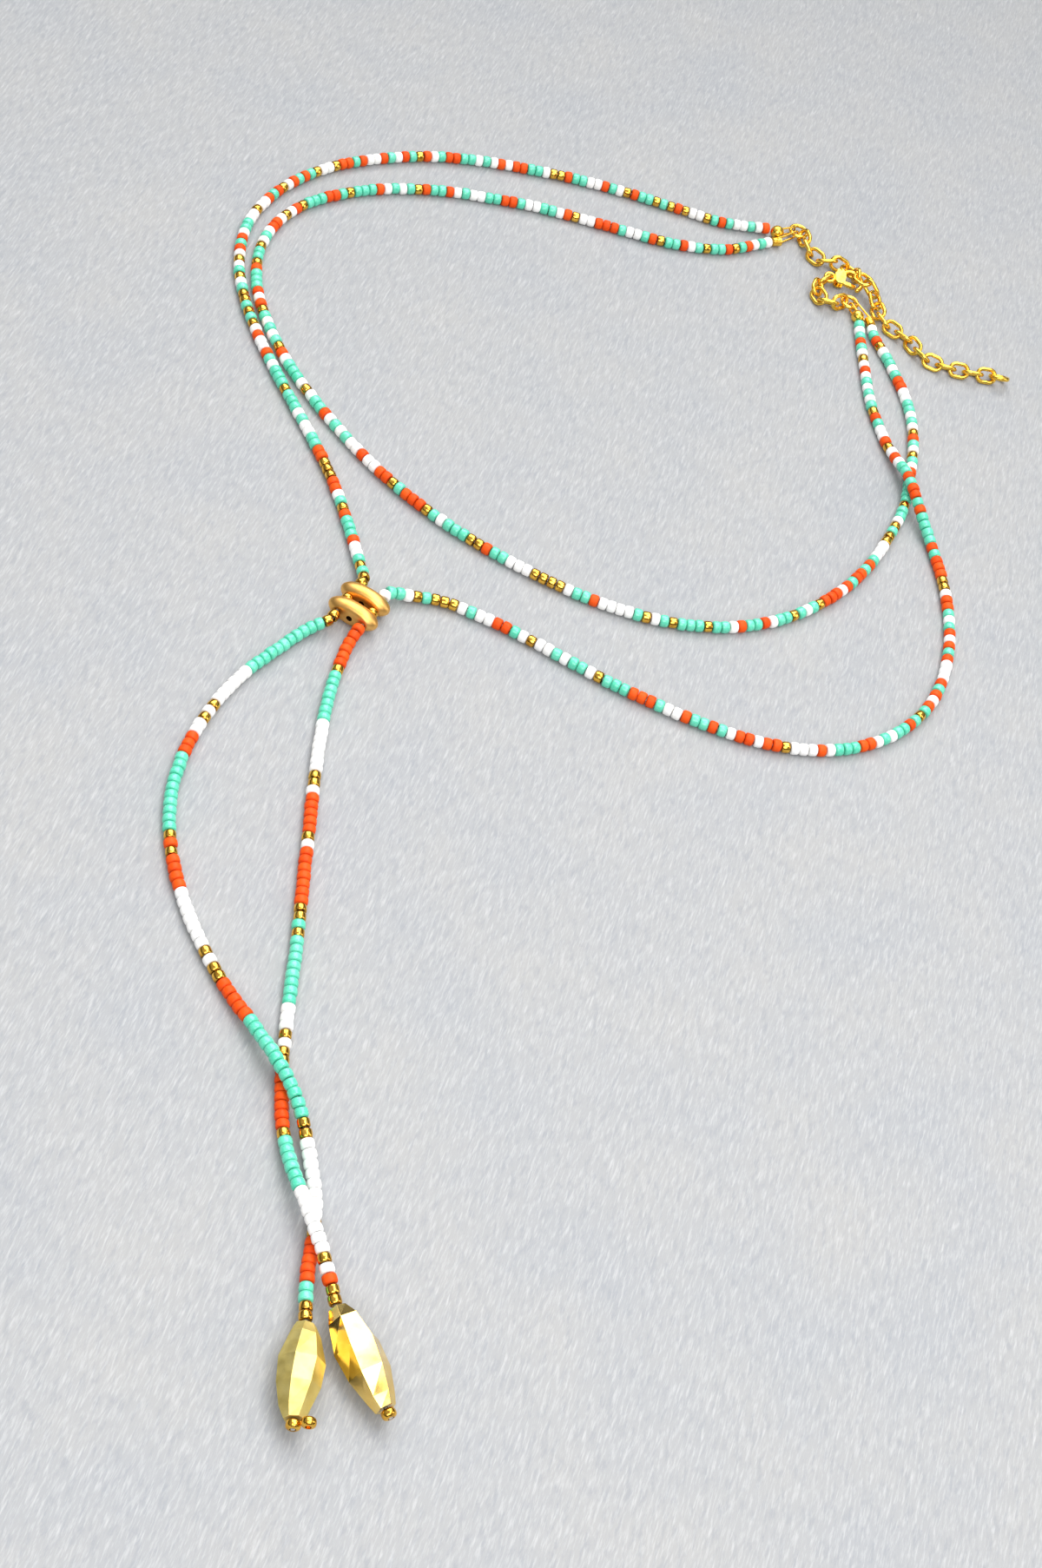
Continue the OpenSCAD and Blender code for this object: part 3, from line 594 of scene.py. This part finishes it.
def barMesh(name, look):
    n, around, power = look["stations"], look["around"], look["squareness"]
    verts, faces = [], []
    for i in range(1, n):
        x = look["long"] / 2 * math.sin(math.pi * (i / n - 0.5))
        high = look["high"] / 2 * math.sqrt(1 - (2 * x / look["long"]) ** 2)
        thick = min(high, look["thick"] / 2)
        for k in range(around):
            a = 2 * math.pi * k / around
            r = (abs(math.cos(a) / thick) ** power + abs(math.sin(a) / high) ** power) ** (-1 / power)
            r = min(r, high) * look["inside"]
            verts.append(Vector((x * look["inside"], r * math.cos(a), r * math.sin(a))) * mm)
    for i in range(n - 2):
        for k in range(around):
            m = (k + 1) % around
            faces.append((i * around + k, (i + 1) * around + k, (i + 1) * around + m, i * around + m))
    faces.append(tuple(range(around)))
    faces.append(tuple(len(verts) - 1 - k for k in range(around)))
    mesh = bpy.data.meshes.new(name)
    mesh.from_pydata(verts, [], faces)
    return mesh


# the three holes, cut with a drill that is thrown away afterwards
def bored(mesh, look):
    drill = bmesh.new()
    for side in (-1, 0, 1):
        place = Matrix.Translation((side * look["pitch"] * mm, 0, 0)) @ Matrix.Rotation(math.pi / 2, 4, "X")
        radius = look["bore"] / 2 * mm
        bmesh.ops.create_cone(drill, cap_ends=True, segments=look["boreSides"], radius1=radius,
                              radius2=radius, depth=2 * look["thick"] * mm, matrix=place)
    drillMesh = bpy.data.meshes.new("drill")
    drill.to_mesh(drillMesh)
    drill.free()
    blank, tool = bpy.data.objects.new("blank", mesh), bpy.data.objects.new("drill", drillMesh)
    for thing in (blank, tool):
        bpy.context.scene.collection.objects.link(thing)
    cut = blank.modifiers.new("holes", "BOOLEAN")
    cut.object, cut.operation, cut.solver = tool, "DIFFERENCE", "EXACT"
    bpy.context.view_layer.update()
    result = bpy.data.meshes.new_from_object(blank.evaluated_get(bpy.context.evaluated_depsgraph_get()))
    bpy.data.objects.remove(blank)
    bpy.data.objects.remove(tool)
    bpy.data.meshes.remove(drillMesh)
    return result


def spacerPiece(name, way, look):
    mesh = bored(barMesh(name + " blank", look), look)
    piece = worn(name, mesh)
    mesh.materials.append(finishes["boreShade"])
    work = bmesh.new()
    work.from_mesh(mesh)
    for e in work.edges:
        e.smooth = e.calc_face_angle(0) < math.radians(look["sharpFrom"])
    for f in work.faces:
        middle = f.calc_center_median() / mm
        off = min(math.hypot(middle.x - side * look["pitch"], middle.z) for side in (-1, 0, 1))
        f.material_index = 1 if off < look["bore"] / 2 * 1.01 and abs(f.normal.y) < 0.3 else 0
    work.to_mesh(mesh)
    work.free()
    turn = Matrix.Rotation(math.radians(look["turn"]), 4, "Z")
    mesh.transform(Matrix.Translation(Vector(look["middle"]) * mm) @ turn
                   @ Matrix.Translation((0, way * look["step"] * mm, 0)))
    return piece


# nuggets: "from" is the least angle in degrees, and "shortest" the least length, of an edge that is rounded
dropLeftSoft = {
    "flat": 1, "from": 6, "shortest": 0.3, "round": 0.45, "steps": 3, "profile": 0.55,
    "slot": "champagne_metal",
}
dropRightSoft = {
    "flat": 1, "from": 6, "shortest": 0.3, "round": 0.8, "steps": 4, "profile": 0.55,
    "slot": "polished_gold",
}
chainWire = {"plate": 0.08, "lowest": 0.01, "slot": "gold_findings"}

dressNodes()
spacerPiece("spacer_bar_front", -1, spacerBar)
spacerPiece("spacer_bar_rear", 1, spacerBar)
softened("drop_left", dropLeftSoft)
softened("drop_right", dropRightSoft)
for name in sorted(nodes):
    if name.startswith(("extender_link_", "connector_link_", "end_ring")):
        platedWire(name, chainWire)
print("metal dressed")

# pale felt floor: a fleece of fine fibres laid three ways
feltFloor = {
    "size": 5000,
    "colour": tint(162, 162, 162), "shade": tint(156, 158, 161), "cloud": 22,
    "fibre": tint(194, 194, 195), "fibreShare": 0.38, "fibreDepth": 0.08,
    "fibres": ((0.4, 34), (0.46, -21), (0.36, 78)),     # size across, and turn in degrees
    "fibreWay": (1, 0.13, 1),
    "dipShade": tint(132, 137, 144), "dipShare": 0.32, "dipSize": 0.9, "dipWay": (1, 0.3, 1), "dipTurn": 52,
    "rough": (0.86, 0.98), "sheen": 0.15, "shine": 0.1,
}


def layFloor(look):
    bpy.ops.mesh.primitive_plane_add(size=look["size"] * mm)
    floor = bpy.context.object
    floor.name = "felt_floor"
    f = Finish("pale felt")
    pile = f.colours(f.noise(look["cloud"], 3, 0.5), look["shade"], look["colour"], 0.3, 0.7)
    heights = None
    for size, turn in look["fibres"]:
        strands = f.noise(size, 3, 0.6, look["fibreWay"], turn)
        pile = f.mixed(f.between(strands, 0, look["fibreShare"], 0.54, 0.7), pile, look["fibre"])
        heights = f.bump(strands, look["fibreDepth"], 0.5, heights)
    # painted shade: the felt's colour darkens in its small dips
    dips = f.noise(look["dipSize"], 4, 0.6, look["dipWay"], look["dipTurn"])
    pile = f.mixed(f.between(dips, look["dipShare"], 0, 0.34, 0.5), pile, look["dipShade"])
    f.set(colour=pile, rough=f.between(strands, *look["rough"]), surface=heights)
    f.set(sheen=look["sheen"], shine=look["shine"])
    floor.data.materials.append(f.material)


# four soft boxes: power in watts, spread in degrees
studioLights = {
    "key": {
        "place": (-180, 480, 800), "aim": (0, -300, 0), "size": (1000, 760),
        "spread": 108, "power": 4.1, "colour": (1, 0.995, 0.985)},
    "front": {
        "place": (100, -560, 560), "aim": (0, -160, 0), "size": (620, 420),
        "spread": 120, "power": 1.7, "colour": (1, 0.995, 0.99)},
    "over": {               # gives the right nugget its long white band
        "place": (220, -20, 770), "aim": (20, -200, 0), "size": (420, 400),
        "spread": 150, "power": 1.9, "colour": (1, 1, 0.99)},
    "side": {
        "place": (560, 60, 260), "aim": (0, -40, 0), "size": (240, 420),
        "spread": 140, "power": 0.4, "colour": (1, 0.98, 0.95)},
}


def hangLights(lights):
    for name, look in lights.items():
        data = bpy.data.lights.new(name, "AREA")
        data.shape = "RECTANGLE"
        data.size, data.size_y = look["size"][0] * mm, look["size"][1] * mm
        data.energy, data.color, data.spread = look["power"], look["colour"], math.radians(look["spread"])
        light = bpy.data.objects.new(name + "_light", data)
        light.location = Vector(look["place"]) * mm
        way = (Vector(look["aim"]) - Vector(look["place"])) * mm
        light.rotation_euler = way.to_track_quat("-Z", "Y").to_euler()
        bpy.context.scene.collection.objects.link(light)


studioWorld = {
    "low": (0.1, (0.06, 0.06, 0.065, 1)),       # height, and the colour from there down
    "high": (0.75, (0.9, 0.92, 0.95, 1)),
    "strength": 0.6,
}


def paintWorld(look):
    world = bpy.data.worlds.new("studio")
    world.use_nodes = True
    tree = world.node_tree
    back = tree.nodes["Background"]
    coords = tree.nodes.new("ShaderNodeTexCoord")
    split = tree.nodes.new("ShaderNodeSeparateXYZ")
    ramp = tree.nodes.new("ShaderNodeValToRGB")
    for stop, key in zip(ramp.color_ramp.elements, ("low", "high")):
        stop.position, stop.color = look[key]
    tree.links.new(coords.outputs["Generated"], split.inputs[0])
    tree.links.new(split.outputs["Z"], ramp.inputs["Fac"])
    tree.links.new(ramp.outputs["Color"], back.inputs["Color"])
    back.inputs["Strength"].default_value = look["strength"]
    bpy.context.scene.world = world


layFloor(feltFloor)
hangLights(studioLights)
paintWorld(studioWorld)
bpy.context.scene.view_settings.view_transform = "Standard"
print("floor, lights and world set")
